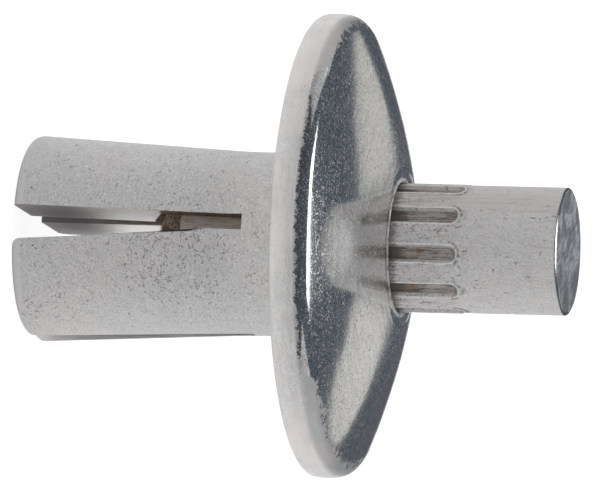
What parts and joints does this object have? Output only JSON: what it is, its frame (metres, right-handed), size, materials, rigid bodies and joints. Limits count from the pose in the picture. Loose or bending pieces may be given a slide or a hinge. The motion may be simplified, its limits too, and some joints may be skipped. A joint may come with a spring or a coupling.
{
  "type": "hammer drive anchor",
  "caption": "Drive anchor with a wide domed head, a shank split into spread legs by crossing saw cuts, and a grooved pin standing in its bore.",
  "frame": {"origin": "on the axis, in the plane of the leg tips", "axes": "+Z along the axis from the leg tips to the pin's struck end; the saw cuts lie in the XZ and YZ planes"},
  "size_m": [0.0158, 0.0158, 0.0185],
  "materials": {
    "body_metal": "bare, matt shank and scuffed satin head",
    "pin_metal": "bare, drawn, with dirty grooves"
  },
  "bodies": {
    "root": {"anchor_body": "body_metal", "drive_pin": "pin_metal"}
  },
  "joints": []
}
